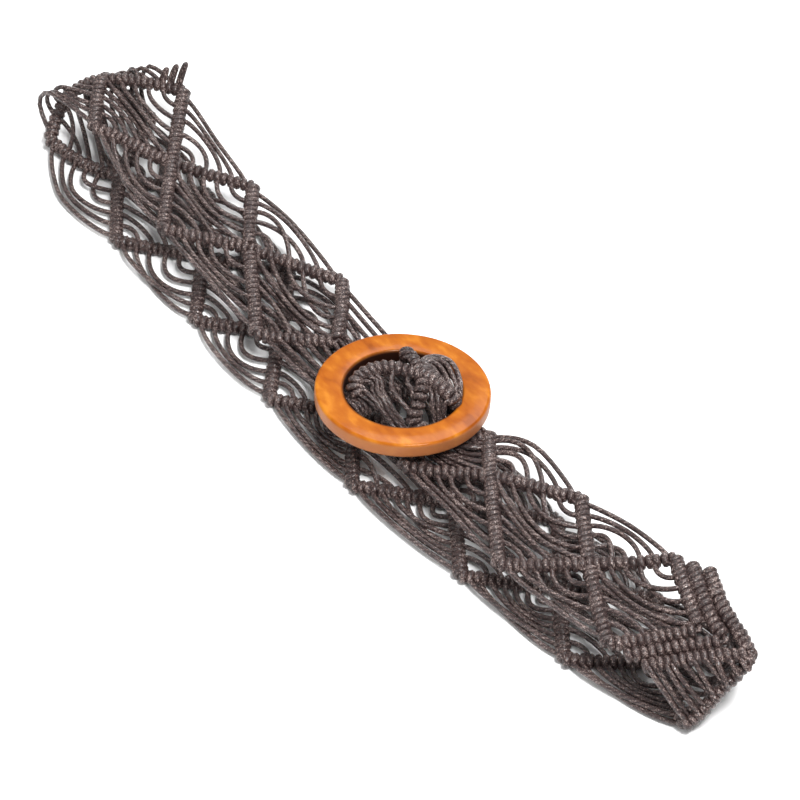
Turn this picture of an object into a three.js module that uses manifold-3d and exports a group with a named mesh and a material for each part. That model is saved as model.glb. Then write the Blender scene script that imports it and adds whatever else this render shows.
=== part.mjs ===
// Macrame rope belt, buckled, lying as a flattened closed loop on a flat surface.
// Millimetres, +Z up. X runs along the belt, Y across it, and z = 0 is the surface
// that the lower run lies on. The origin is under the middle of the loop.
//
// The net is worked in waxed cotton cord. Its rope rows are hitches wound over a
// leader cord, and they cross as a diamond lattice. Free cords run in arcs from row
// to row: inside each diamond, and outside the rows along both edges.

import * as THREE from 'three';
import { mergeVertices } from 'three/addons/utils/BufferGeometryUtils.js';
import Module from 'manifold-3d';

const wasm = await Module();
wasm.setup();
const { Manifold } = wasm;

// Driving dimensions.
const REACH = 200;            // half the length of the lying loop
const HALF_WIDTH = 22;        // from the belt's middle to a corner of the lattice
const REPEAT = 56;            // one diamond of the lattice along the belt
const ROPE = 5.3;             // width and thickness of a knotted row
const CORD = 2;               // the cord that the belt is knotted from
const STRAND_WIDTH = 4.4;     // three free cords side by side
const LOOP_LIFT = 24;         // height of the upper layer's highest row over the lower layer
const EDGE_BULGE = 4;         // how far the free cords stand out past the corners
const CLEARANCE = 0.3;        // gap between pieces that touch

const RING_OUTER = 32;        // buckle ring, outer radius
const RING_INNER = 21.3;      // buckle ring, inner radius
const RING_THICKNESS = 6;
const RING_ROUNDING = 1.5;    // rounding of its four edges
const RING_X = 6.1;
const RING_Y = -3.5;
const RING_ROLL = -5;         // degrees about X: the near side is raised
const RING_PITCH = -2.5;      // degrees about Y: the right side is raised
const BAR_WIDTH = 6;          // the bar across the ring, under the free end
const BAR_THICKNESS = 3;
const BAR_X = -6;             // the bar is off the ring's middle, towards the fixed end
const KNOT_RADIUS = 3.2;      // stopper knot at the free end's tip
const KNOT_SETBACK = 0.37;    // from the tip's crossing to the rows' outer edge, share of ROPE

const CORD_COLOR = 0x4c3f3c;
const WOOD_COLOR = 0xd9812f;

const LOWER_MIDDLE = ROPE / 2;

// The net's middle surface, one row for each section across the belt, from the buckle
// over the left fold, along the surface, over the right fold and back to the buckle.
// at: place along the belt in repeats. x: share of REACH. y: share of HALF_WIDTH.
// lift: share of LOOP_LIFT above the lower layer. skew: degrees that the section turns
// from square. width: share of HALF_WIDTH. bank: degrees that the far edge is raised.
// flare: share of EDGE_BULGE that the far edge's free cords have.
const SECTIONS = [
  { at: 0.0, x: -0.075, y: -0.07, lift: 0.33, skew: 0, width: 1.0, bank: 0, flare: 0.2 },
  { at: 0.5, x: -0.18, y: -0.08, lift: 0.33, skew: -2, width: 1.0, bank: 0, flare: 0.2 },
  { at: 1.0, x: -0.299, y: -0.06, lift: 0.33, skew: -8, width: 1.03, bank: -4, flare: 0.2 },
  { at: 1.5, x: -0.481, y: 0.09, lift: 0.38, skew: -6, width: 1.0, bank: -4, flare: 0.2 },
  { at: 2.0, x: -0.612, y: 0.08, lift: 0.48, skew: -3, width: 1.0, bank: -5, flare: 0.2 },
  { at: 2.5, x: -0.75, y: 0.19, lift: 0.58, skew: -3, width: 1.0, bank: -5, flare: 0.1 },
  { at: 3.0, x: -0.905, y: 0.48, lift: 0.7, skew: 1, width: 0.96, bank: -4, flare: 0 },
  { at: 3.5, x: -1.02, y: 0.42, lift: 0.74, skew: 14, width: 0.95, bank: 0, flare: 0.2 },
  { at: 3.75, x: -1.035, y: 0.26, lift: 0.43, skew: 22, width: 0.95, bank: 0, flare: 0.5 },
  { at: 4.0, x: -0.98, y: 0.06, lift: 0.06, skew: 20, width: 0.95, bank: 0, flare: 0.5 },
  { at: 4.25, x: -0.91, y: -0.2, lift: 0, skew: 12, width: 0.97, bank: 0, flare: 0.8 },
  { at: 4.5, x: -0.845, y: -0.36, lift: 0, skew: 6, width: 1.0, bank: 0, flare: 1 },
  { at: 5.0, x: -0.697, y: -0.38, lift: 0, skew: 0, width: 1.0, bank: 0, flare: 1 },
  { at: 6.0, x: -0.423, y: -0.45, lift: 0, skew: 0, width: 1.0, bank: 0, flare: 1 },
  { at: 7.0, x: -0.17, y: -0.57, lift: 0, skew: 0, width: 1.0, bank: 0, flare: 1 },
  { at: 8.0, x: 0.098, y: -0.68, lift: 0, skew: 0, width: 1.0, bank: 0, flare: 1 },
  { at: 9.0, x: 0.387, y: -0.51, lift: 0, skew: 0, width: 1.0, bank: 0, flare: 1 },
  { at: 10.0, x: 0.64, y: -0.33, lift: 0, skew: -4, width: 1.0, bank: 0, flare: 1 },
  { at: 10.5, x: 0.755, y: -0.12, lift: 0, skew: -12, width: 0.98, bank: 0, flare: 0.5 },
  { at: 10.75, x: 0.805, y: 0, lift: 0, skew: -18, width: 0.95, bank: 0, flare: 0 },
  { at: 11.0, x: 0.845, y: 0.1, lift: 0.05, skew: -24, width: 0.9, bank: 0, flare: -1 },
  { at: 11.25, x: 0.876, y: 0.17, lift: 0.46, skew: -28, width: 0.86, bank: 0, flare: -1 },
  { at: 11.5, x: 0.898, y: 0.38, lift: 0.9, skew: -24, width: 0.88, bank: 4, flare: -1 },
  { at: 11.8, x: 0.81, y: 0.12, lift: 0.93, skew: -20, width: 0.98, bank: 12, flare: 0 },
  { at: 12.3, x: 0.688, y: -0.1, lift: 0.79, skew: -18, width: 1.0, bank: 4, flare: 0.4 },
  { at: 12.8, x: 0.556, y: -0.16, lift: 0.64, skew: -12, width: 1.0, bank: 0, flare: 0.5 },
  { at: 13.3, x: 0.436, y: -0.25, lift: 0.55, skew: -9, width: 0.98, bank: 0, flare: 0.6 },
  { at: 13.8, x: 0.27, y: -0.06, lift: 0.44, skew: -5, width: 0.95, bank: -1, flare: 0.6 },
  { at: 14.3, x: 0.165, y: -0.2, lift: 0.34, skew: 8, width: 0.8, bank: -4, flare: 0.6 },
  { at: 14.55, x: 0.14, y: -0.27, lift: 0.35, skew: 20, width: 0.56, bank: -2, flare: 0.6 },
  { at: 14.8, x: 0.099, y: -0.32, lift: 0.5, skew: 32, width: 0.43, bank: 0, flare: 0.6 },
  { at: 15.05, x: 0.074, y: -0.31, lift: 0.77, skew: 40, width: 0.5, bank: 0, flare: 0 },
  { at: 15.3, x: 0.045, y: -0.27, lift: 0.895, skew: 44, width: 0.78, bank: 0, flare: 0 },
  { at: 15.8, x: 0.005, y: 0.07, lift: 0.95, skew: 45, width: 0.8, bank: 0, flare: 0 },
  { at: 16.1, x: -0.02, y: 0.26, lift: 0.93, skew: 45, width: 0.8, bank: 0, flare: 0 },
];

// Where the belt is parted between two crossings, in repeats.
const RUNS = [
  { name: 'upper_left_run', from: 0.44, to: 3.25 },
  { name: 'left_fold', from: 3.25, to: 4.25 },
  { name: 'lower_run', from: 4.25, to: 10.75 },
  { name: 'right_fold', from: 10.75, to: 12.55 },
  { name: 'upper_right_run', from: 12.55, to: 14.05 },
  { name: 'threaded_end', from: 14.05, to: 15.84 },
];

const FIRST_CROSSING = 0.5;
const LAST_PLAIN_CROSSING = 11.5;
const CHEVRON_APEX = 11.8;          // apex of the innermost row of the chevron
const CHEVRON_CORNER = 12.3;        // where that row meets the belt's edge
const CHEVRON_ROWS = 3;
const CHEVRON_STEP = 0.15;          // from row to row, in repeats
const COLUMN = 0.6;                 // length of the free end's middle row, in repeats
const LATER_CROSSINGS = [12.8, 13.8];
const NECK = 14.8;                  // crossing where the free end is gathered in the ring
const TIP = 15.8;                   // crossing at the free end's tip

// Free cords: two strands of three cords between each pair of rows. arm: share of the
// row from the corner that the strand turns round. inner and outer strand.
const STRANDS = [0.26, 0.74];
const TAB_STRANDS = [0.36, 0.68, 0.95];

// Cords between the first rows and the bar. arm: share of the row from its crossing.
const MOUNTS = [
  { arm: 0.86, side: 1 },
  { arm: 0.43, side: 1 },
  { arm: 0, side: 1 },
  { arm: 0.43, side: -1 },
  { arm: 0.86, side: -1 },
];
const MOUNT_SPREAD = 9.5;     // from the bar's middle to its last cords
const RING_SIDES = 32;
const ROUNDING_STEPS = 2;
const FOLDS = [[3.3, 4.3], [10.9, 11.7]];
const FLAT_STEP = 0.5;
const STRAND_STEPS = [3, 3];
const FOLD_STRAND_STEPS = [4, 4];
const FOLD_STEP = 0.165;

function spline(at, column) {
  // A cubic through the sections, with its slope at each from the two beside it.
  const last = SECTIONS.length - 1;
  let i = 0;
  while (i < last - 1 && at > SECTIONS[i + 1].at) i += 1;
  const slope = (k) => {
    const a = SECTIONS[Math.max(k - 1, 0)];
    const b = SECTIONS[Math.min(k + 1, last)];
    return (b[column] - a[column]) / (b.at - a.at);
  };
  const [a, b] = [SECTIONS[i], SECTIONS[i + 1]];
  const span = b.at - a.at;
  const t = (at - a.at) / span;
  const [t2, t3] = [t * t, t * t * t];
  return (2 * t3 - 3 * t2 + 1) * a[column] + (t3 - 2 * t2 + t) * span * slope(i)
    + (3 * t2 - 2 * t3) * b[column] + (t3 - t2) * span * slope(i + 1);
}

function middle(at, across) {
  const skew = THREE.MathUtils.degToRad(spline(at, 'skew'));
  const bank = THREE.MathUtils.degToRad(spline(at, 'bank'));
  const reach = across * HALF_WIDTH * spline(at, 'width');
  return new THREE.Vector3(
    spline(at, 'x') * REACH + Math.sin(skew) * reach,
    spline(at, 'y') * HALF_WIDTH + Math.cos(skew) * reach,
    Math.max(spline(at, 'lift'), 0) * LOOP_LIFT + LOWER_MIDDLE + Math.sin(bank) * reach,
  );
}

function outward(at, across) {
  const small = 0.01;
  const along = middle(at + small, across).sub(middle(at - small, across));
  const over = middle(at, across + small).sub(middle(at, across - small));
  return over.cross(along).normalize();
}

// A bar swept along points, with the outward direction of the net at each. The section
// lists [across the bar, outward] pairs, anticlockwise seen from the bar's end.
function sweep(points, normals, section, ends = []) {
  const verts = [];
  const faces = [];
  const n = section.length;
  points.forEach((point, i) => {
    const before = points[Math.max(i - 1, 0)];
    const after = points[Math.min(i + 1, points.length - 1)];
    const entering = point.clone().sub(before).normalize();
    const leaving = after.clone().sub(point).normalize();
    const inner = entering.add(leaving).normalize();
    const last = points.length - 1;
    const along = (i === 0 && ends[0]) || (i === last && ends[1]) || inner;
    const side = normals[i].clone().cross(along).normalize();
    const up = along.clone().cross(side);
    const mitre = i === 0 || i === last ? 1 : 1 / inner.dot(leaving);
    section.forEach(([a, b]) => {
      const v = point.clone().addScaledVector(side, a * mitre).addScaledVector(up, b);
      verts.push(v.x, v.y, v.z);
    });
  });
  for (let i = 0; i + 1 < points.length; i += 1) {
    for (let j = 0; j < n; j += 1) {
      const [a, b] = [i * n + j, i * n + ((j + 1) % n)];
      faces.push(a, b, b + n, a, b + n, a + n);
    }
  }
  const end = (points.length - 1) * n;
  for (let j = 1; j + 1 < n; j += 1) {
    faces.push(0, j + 1, j);
    faces.push(end, end + j, end + j + 1);
  }
  return solid(verts, faces);
}

function solid(verts, faces) {
  const mesh = new wasm.Mesh({
    numProp: 3,
    vertProperties: new Float32Array(verts),
    triVerts: new Uint32Array(faces),
  });
  const body = new Manifold(mesh);
  return body.volume() > 0 ? body : new Manifold(new wasm.Mesh({
    numProp: 3,
    vertProperties: new Float32Array(verts),
    triVerts: new Uint32Array(faces).reverse(),
  }));
}

// A row's section has a flat crest above and below, and a flat side that strands enter.
function octagon(width, thickness) {
  const [a, b] = [width / 2, thickness / 2];
  const [crest, flank] = [a * 0.45, b * 0.45];
  return [
    [a, -flank], [a, flank], [crest, b], [-crest, b],
    [-a, flank], [-a, -flank], [-crest, -b], [crest, -b],
  ];
}

function flat(width, thickness) {
  const [a, b] = [width / 2, thickness / 2];
  return [[a, -b], [a, b], [-a, b], [-a, -b]];
}

// The stretch of a path of [at, across] pairs that lies in a run, with a step for each
// bend. Ends inside the run keep their place, and parted ends stop short of each other.
function clipped(path, run, step) {
  const gap = CLEARANCE / 2 / REPEAT;
  const [low, high] = [run.from + gap, run.to - gap];
  const sorted = path[0][0] <= path[path.length - 1][0] ? path : [...path].reverse();
  const first = Math.max(sorted[0][0], low);
  const last = Math.min(sorted[sorted.length - 1][0], high);
  if (last - first < step / 4) return null;
  const acrossAt = (at) => {
    let i = 0;
    while (i < sorted.length - 2 && at > sorted[i + 1][0]) i += 1;
    const [a, b] = [sorted[i], sorted[i + 1]];
    return a[1] + ((b[1] - a[1]) * (at - a[0])) / Math.max(b[0] - a[0], 1e-6);
  };
  const inside = sorted.filter(([at]) => at > first + step / 5 && at < last - step / 5);
  const heading = (at) => middle(at + gap, acrossAt(at + gap))
    .sub(middle(at - gap, acrossAt(at - gap))).normalize();
  return {
    path: [[first, acrossAt(first)], ...inside, [last, acrossAt(last)]],
    ends: [first === low ? heading(run.from) : null, last === high ? heading(run.to) : null],
  };
}

function sweepOnNet({ path, ends }, section) {
  const points = path.map(([at, across]) => middle(at, across));
  const normals = path.map(([at, across]) => outward(at, across));
  return sweep(points, normals, section, ends);
}

function stepNear(at) {
  return FOLDS.some(([from, to]) => at > from && at < to) ? FOLD_STEP : FLAT_STEP;
}

// A row on the net through [at, across] pairs, straight between each two.
function rowPath(...stops) {
  const path = [stops[0]];
  stops.slice(1).forEach((stop, k) => {
    const [from, slope] = [stops[k], (stop[1] - stops[k][1]) / (stop[0] - stops[k][0])];
    let at = from[0];
    while (at + stepNear(at) * 1.3 < stop[0]) {
      at += stepNear(at);
      path.push([at, from[1] + slope * (at - from[0])]);
    }
    path.push(stop);
  });
  return path;
}

// A strand turns round a pivot where two rows meet. It leaves each row squarely at a
// share of its length and passes the pivot at a given depth.
function strandPath(pivot, side, share, depth) {
  const half = REPEAT / 2;
  const arm = Math.hypot(half, HALF_WIDTH);
  const radius = share * arm;
  const [sine, cosine] = [half / arm, HALF_WIDTH / arm];
  const handle = Math.max(depth - radius * cosine, 1) / (0.75 * sine);
  const start = [-radius * sine, radius * cosine];
  const lead = [start[0] + handle * cosine, start[1] + handle * sine];
  const curve = new THREE.CubicBezierCurve(
    new THREE.Vector2(...start),
    new THREE.Vector2(...lead),
    new THREE.Vector2(-lead[0], lead[1]),
    new THREE.Vector2(-start[0], start[1]),
  );
  const steps = stepNear(pivot.at) === FOLD_STEP ? FOLD_STRAND_STEPS : STRAND_STEPS;
  return curve.getPoints(steps[share === STRANDS[0] ? 0 : 1])
    .map((p) => [pivot.at + p.x / REPEAT, pivot.across + (side * p.y) / HALF_WIDTH]);
}

function crossings() {
  const list = [];
  for (let at = FIRST_CROSSING; at <= LAST_PLAIN_CROSSING; at += 1) list.push(at);
  return [...list, ...LATER_CROSSINGS];
}

// Corners of the lattice: a row runs from each to the crossings beside it.
function corners() {
  const list = [];
  for (let at = FIRST_CROSSING + 0.5; at < LAST_PLAIN_CROSSING; at += 1) {
    list.push({ at, before: at - 0.5, after: at + 0.5 });
  }
  list.push({ at: CHEVRON_CORNER, before: CHEVRON_APEX, after: CHEVRON_CORNER + 0.5 });
  for (let at = CHEVRON_CORNER + 1; at < NECK; at += 1) {
    list.push({ at, before: at - 0.5, after: at + 0.5 });
  }
  return list;
}

// Each leader cord runs straight through the crossings and turns at the edges, so the
// rows make two zigzags. The chevron's middle row stops at its apex.
function rowPaths() {
  const paths = [];
  const lastStep = (CHEVRON_ROWS - 1) * CHEVRON_STEP;
  const zigzag = (first, edge, end) => {
    const stops = [];
    for (let at = first; at < end; at += 1) {
      stops.push([at, Math.round(at - first) % 2 === 0 ? edge : -edge]);
    }
    return stops;
  };
  [1, -1].forEach((edge) => {
    const plain = zigzag(FIRST_CROSSING + 0.5, edge, LAST_PLAIN_CROSSING);
    const last = plain[plain.length - 1][1];
    paths.push(rowPath(
      [FIRST_CROSSING, 0],
      ...plain,
      [LAST_PLAIN_CROSSING, 0],
      [CHEVRON_CORNER - lastStep, -last],
    ));
    for (let row = 1; row < CHEVRON_ROWS - 1; row += 1) {
      const shift = row * CHEVRON_STEP;
      paths.push(rowPath([CHEVRON_APEX - shift, 0], [CHEVRON_CORNER - shift, edge]));
    }
    paths.push(rowPath([CHEVRON_APEX, 0], ...zigzag(CHEVRON_CORNER, edge, NECK), [NECK, 0]));
    paths.push(rowPath([TIP - 0.5, edge], [TIP, 0]));
  });
  paths.push(rowPath([NECK, 0], [NECK + COLUMN, 0]));
  return paths;
}

function strandPaths() {
  const paths = [];
  const spread = (share, limit) => Math.min(share * Math.hypot(REPEAT / 2, HALF_WIDTH), limit);
  const inLimit = [HALF_WIDTH, HALF_WIDTH - CORD / 2 - STRAND_WIDTH / 2];
  const outLimit = (at, side) => {
    const bulge = EDGE_BULGE * (side > 0 ? spline(at, 'flare') : 1);
    return [HALF_WIDTH, HALF_WIDTH + bulge - STRAND_WIDTH / 2];
  };
  corners().forEach(({ at }) => {
    [1, -1].forEach((side) => {
      STRANDS.forEach((share, k) => {
        const pivot = { at, across: side };
        paths.push(strandPath(pivot, -side, share, spread(share, inLimit[k])));
      });
    });
  });
  crossings().slice(1).forEach((at) => {
    [1, -1].forEach((side) => {
      STRANDS.forEach((share, k) => {
        const pivot = { at, across: 0 };
        paths.push(strandPath(pivot, side, share, spread(share, outLimit(at, side)[k])));
      });
    });
  });
  // Inside the ring the cords run from the neck's rows up to the tip's rows.
  TAB_STRANDS.forEach((across) => {
    [1, -1].forEach((side) => {
      const [start, end] = [NECK - across / 2, TIP - across / 2];
      const path = [0, 0.25, 0.5, 0.75, 1].map((t) => [start + t * (end - start), side * across]);
      paths.push(path);
    });
  });
  return paths;
}

function toMesh(name, body, material) {
  const { vertProperties, triVerts, numProp } = body.getMesh();
  const geometry = new THREE.BufferGeometry();
  const position = new Float32Array((vertProperties.length / numProp) * 3);
  for (let i = 0; i < position.length / 3; i += 1) {
    position.set(vertProperties.slice(i * numProp, i * numProp + 3), i * 3);
  }
  geometry.setAttribute('position', new THREE.BufferAttribute(position, 3));
  geometry.setIndex(new THREE.BufferAttribute(new Uint32Array(triVerts), 1));
  geometry.computeVertexNormals();
  const mesh = new THREE.Mesh(geometry, material);
  mesh.name = name;
  return mesh;
}

const cordMaterial = new THREE.MeshStandardMaterial({
  color: CORD_COLOR, roughness: 0.6, metalness: 0,
});
const woodMaterial = new THREE.MeshStandardMaterial({
  color: WOOD_COLOR, roughness: 0.3, metalness: 0,
});

const belt = new THREE.Group();

// The buckle's own frame: its origin is the ring's middle, and Z is its axis.
const buckle = new THREE.Group();
const ringDrop = RING_OUTER * Math.sin(THREE.MathUtils.degToRad(Math.abs(RING_PITCH)));
buckle.position.set(
  RING_X,
  RING_Y,
  middle(FIRST_CROSSING, 0).z + ROPE / 2 + CLEARANCE + RING_THICKNESS / 2 + ringDrop,
);
buckle.rotation.set(
  THREE.MathUtils.degToRad(RING_ROLL),
  THREE.MathUtils.degToRad(RING_PITCH),
  0,
);
buckle.updateMatrixWorld(true);

const barZ = (BAR_THICKNESS - RING_THICKNESS) / 2;
const loopReach = BAR_WIDTH / 2 + CLEARANCE + CORD;

function fromGeometry(geometry) {
  geometry.deleteAttribute('normal');
  geometry.deleteAttribute('uv');
  const merged = mergeVertices(geometry, 1e-4);
  return solid([...merged.attributes.position.array], [...merged.index.array]);
}

function ringWithBar() {
  const [half, r] = [RING_THICKNESS / 2, RING_ROUNDING];
  // One corner after another, each as an arc of a few points.
  const corners = [
    [RING_INNER + r, r - half, 180], [RING_OUTER - r, r - half, 270],
    [RING_OUTER - r, half - r, 0], [RING_INNER + r, half - r, 90],
  ];
  const points = corners.flatMap(([x, y, from]) => {
    const arc = [];
    for (let i = 0; i <= ROUNDING_STEPS; i += 1) {
      const angle = THREE.MathUtils.degToRad(from + (i * 90) / ROUNDING_STEPS);
      arc.push(new THREE.Vector2(x + r * Math.cos(angle), y + r * Math.sin(angle)));
    }
    return arc;
  });
  points.push(points[0].clone());
  const ring = new THREE.LatheGeometry(points, RING_SIDES).rotateX(Math.PI / 2);
  const length = RING_INNER + RING_OUTER;
  const bar = new THREE.BoxGeometry(BAR_WIDTH, length, BAR_THICKNESS);
  return fromGeometry(ring).add(fromGeometry(bar.translate(BAR_X, 0, barZ)));
}

// The fixed end's cords go round the bar side by side, as one sleeve.
function barLoops() {
  const reach = MOUNT_SPREAD + STRAND_WIDTH / 2;
  const height = BAR_THICKNESS + 2 * (CLEARANCE + CORD);
  const outer = new THREE.BoxGeometry(2 * loopReach, 2 * reach, height);
  const inner = new THREE.BoxGeometry(
    BAR_WIDTH + 2 * CLEARANCE, 2 * reach + CORD, BAR_THICKNESS + 2 * CLEARANCE,
  );
  const [sleeve, hollow] = [outer, inner].map((box) => fromGeometry(box.translate(BAR_X, 0, barZ)));
  return sleeve.subtract(hollow);
}

// Cords that leave the last rows of the fixed end, pass under the ring and reach the bar.
function mountStraps() {
  return MOUNTS.map(({ arm, side }) => {
    const spread = side * MOUNT_SPREAD * arm;
    const local = [
      [-RING_OUTER, spread, -RING_THICKNESS / 2 - CORD / 2 - 2 * CLEARANCE],
      [-RING_INNER * 0.8, spread, -RING_THICKNESS / 2 - CORD / 2 - CLEARANCE],
      [BAR_X - loopReach - CORD, spread, barZ - CORD / 4],
      [BAR_X - loopReach - CLEARANCE, spread, barZ],
    ].map((place) => new THREE.Vector3(...place).applyMatrix4(buckle.matrixWorld));
    const start = middle(FIRST_CROSSING + arm / 2, side * arm);
    const points = [start, ...local];
    const up = new THREE.Vector3(0, 0, 1);
    const square = new THREE.Vector3(1, 0, 0).transformDirection(buckle.matrixWorld);
    return sweep(points, points.map(() => up), flat(STRAND_WIDTH, CORD), [null, square]);
  });
}

function tipKnot() {
  const end = middle(TIP, 0);
  const along = end.clone().sub(middle(TIP - 0.1, 0)).normalize();
  const knot = new THREE.IcosahedronGeometry(KNOT_RADIUS, 1);
  const mesh = toMesh('tip_knot', fromGeometry(knot), cordMaterial);
  mesh.position.copy(end).addScaledVector(along, ROPE * KNOT_SETBACK + CLEARANCE + KNOT_RADIUS);
  return mesh;
}

RUNS.forEach((run) => {
  const bars = [];
  rowPaths().forEach((path) => {
    const part = clipped(path, run, FOLD_STEP);
    if (part) bars.push(sweepOnNet(part, octagon(ROPE, ROPE)));
  });
  strandPaths().forEach((path) => {
    const part = clipped(path, run, FOLD_STEP);
    if (part) bars.push(sweepOnNet(part, flat(STRAND_WIDTH, CORD)));
  });
  if (run.from < FIRST_CROSSING) bars.push(...mountStraps());
  belt.add(toMesh(run.name, Manifold.union(bars), cordMaterial));
});

buckle.add(
  toMesh('ring_buckle', ringWithBar(), woodMaterial),
  toMesh('bar_loops', barLoops(), cordMaterial),
);
belt.add(buckle);
belt.add(tipKnot());

// The origin is under the middle of the loop's bounding box, on the surface.
const box = new THREE.Box3().setFromObject(belt, true);
const base = box.getCenter(new THREE.Vector3()).setZ(box.min.z);
belt.children.forEach((child) => child.position.sub(base));

export default belt;
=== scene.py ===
# %% [markdown]
# # A knotted rope belt with a wooden ring buckle
# The belt lies as a flattened closed loop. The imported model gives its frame: six stretches
# of net, the ring, the loops on its bar and a knot. This notebook makes the real surface
# of each one: hundreds of single cords, the hitches that hold them, and polished wood.
# Everything is in metres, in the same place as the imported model.

# %% Load the frame
import math
import random

import bpy
from mathutils import Matrix, Vector


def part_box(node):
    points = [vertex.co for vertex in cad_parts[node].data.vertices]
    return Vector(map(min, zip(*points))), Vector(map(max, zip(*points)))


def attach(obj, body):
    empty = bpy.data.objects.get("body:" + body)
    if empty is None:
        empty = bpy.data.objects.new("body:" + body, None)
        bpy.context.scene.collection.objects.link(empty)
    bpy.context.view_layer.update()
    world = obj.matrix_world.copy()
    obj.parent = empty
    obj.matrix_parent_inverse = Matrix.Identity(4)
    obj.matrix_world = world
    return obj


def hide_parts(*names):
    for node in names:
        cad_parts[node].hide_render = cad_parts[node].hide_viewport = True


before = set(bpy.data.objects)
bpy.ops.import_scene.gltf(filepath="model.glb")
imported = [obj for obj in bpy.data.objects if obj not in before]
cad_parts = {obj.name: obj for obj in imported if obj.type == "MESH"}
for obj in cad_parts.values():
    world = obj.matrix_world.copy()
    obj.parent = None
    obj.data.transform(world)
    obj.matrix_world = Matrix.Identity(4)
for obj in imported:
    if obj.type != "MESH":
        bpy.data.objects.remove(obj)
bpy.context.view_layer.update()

MM = 0.001
UP = Vector((0, 0, 1))

# %% [markdown]
# ## Camera, light and floor
# A product photograph of a dark, shiny cord needs large soft lights, so that each cord
# gets a thin bright line on its wax. The camera looks down at 45 degrees with a long lens,
# because the two ends of the belt keep nearly the same scale in the picture.

# %% Camera
def look_from(target, azimuth, elevation, distance):
    """The place and turn of something that looks at a target. Angles are in degrees."""
    a, e = math.radians(azimuth), math.radians(elevation)
    back = Vector((math.sin(a) * math.cos(e), -math.cos(a) * math.cos(e), math.sin(e)))
    return target + back * distance, back.to_track_quat("Z", "Y").to_euler()


SHIFT = Vector((13.499, 2.543, 0.024)) * MM     # from the buckle's origin to the loop's middle
camera = bpy.data.objects.new("camera", bpy.data.cameras.new("camera"))
camera.data.lens, camera.data.sensor_width = 160.3, 36
camera.data.clip_start = 0.05
target = Vector((0, 0, 8)) * MM + SHIFT
camera.location, camera.rotation_euler = look_from(target, 52.3, 45, 1.3)
bpy.context.scene.collection.objects.link(camera)
bpy.context.scene.camera = camera
print("camera at", [round(v, 3) for v in camera.location])


# %% Lights
def soft_light(name, azimuth, elevation, distance, size, power):
    """A round lamp that looks at the belt, in metres and watts."""
    light = bpy.data.lights.new(name, "AREA")
    light.shape, light.size, light.energy = "DISK", size, power
    holder = bpy.data.objects.new(name, light)
    holder.location, holder.rotation_euler = look_from(Vector((0, 0, 0)), azimuth, elevation, distance)
    bpy.context.scene.collection.objects.link(holder)


soft_light("key_light", 88, 66, 1.4, 0.5, 26)
soft_light("back_light", 215, 50, 1.5, 0.8, 16)
soft_light("fill_light", -20, 40, 1.6, 0.9, 6)
world = bpy.data.worlds.new("studio")
world.use_nodes = True
surround = world.node_tree.nodes["Background"]
surround.inputs["Color"].default_value = (1, 1, 1, 1)
surround.inputs["Strength"].default_value = 0.42
bpy.context.scene.world = world
bpy.context.scene.view_settings.view_transform = "Standard"


# %% Floor
def material_nodes(name):
    material = bpy.data.materials.new(name)
    material.use_nodes = True
    tree = material.node_tree
    return material, tree, tree.nodes["Principled BSDF"]


def set_inputs(made, values):
    for title, value in values.items():
        made.inputs[title].default_value = value


def new_object(name, vertices, faces, edges=()):
    mesh = bpy.data.meshes.new(name)
    mesh.from_pydata(vertices, edges, faces)
    mesh.update()
    piece = bpy.data.objects.new(name, mesh)
    bpy.context.scene.collection.objects.link(piece)
    return piece


FLOOR_REACH = 4
floor = new_object("floor", [
    (x * FLOOR_REACH, y * FLOOR_REACH, 0) for x, y in ((-1, -1), (1, -1), (1, 1), (-1, 1))], [(0, 1, 2, 3)])
pale_floor, _, shader = material_nodes("pale_floor")
set_inputs(shader, {"Base Color": (0.93, 0.93, 0.93, 1), "Roughness": 0.9})
floor.data.materials.append(pale_floor)
print("floor, m:", 2 * FLOOR_REACH)

# %% [markdown]
# ## The surface that the net lies on
# The net is a flat band that curves through space, so a place on it needs two numbers: how
# far along the belt, in repeats of the pattern, and how far across, from -1 to 1. The
# table gives the band at a few sections, and a smooth cubic joins them. A flat net could
# also be bent with a lattice or a curve modifier, but here each fold is where the numbers
# put it, and every cord that is drawn on the band folds with it.

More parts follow.
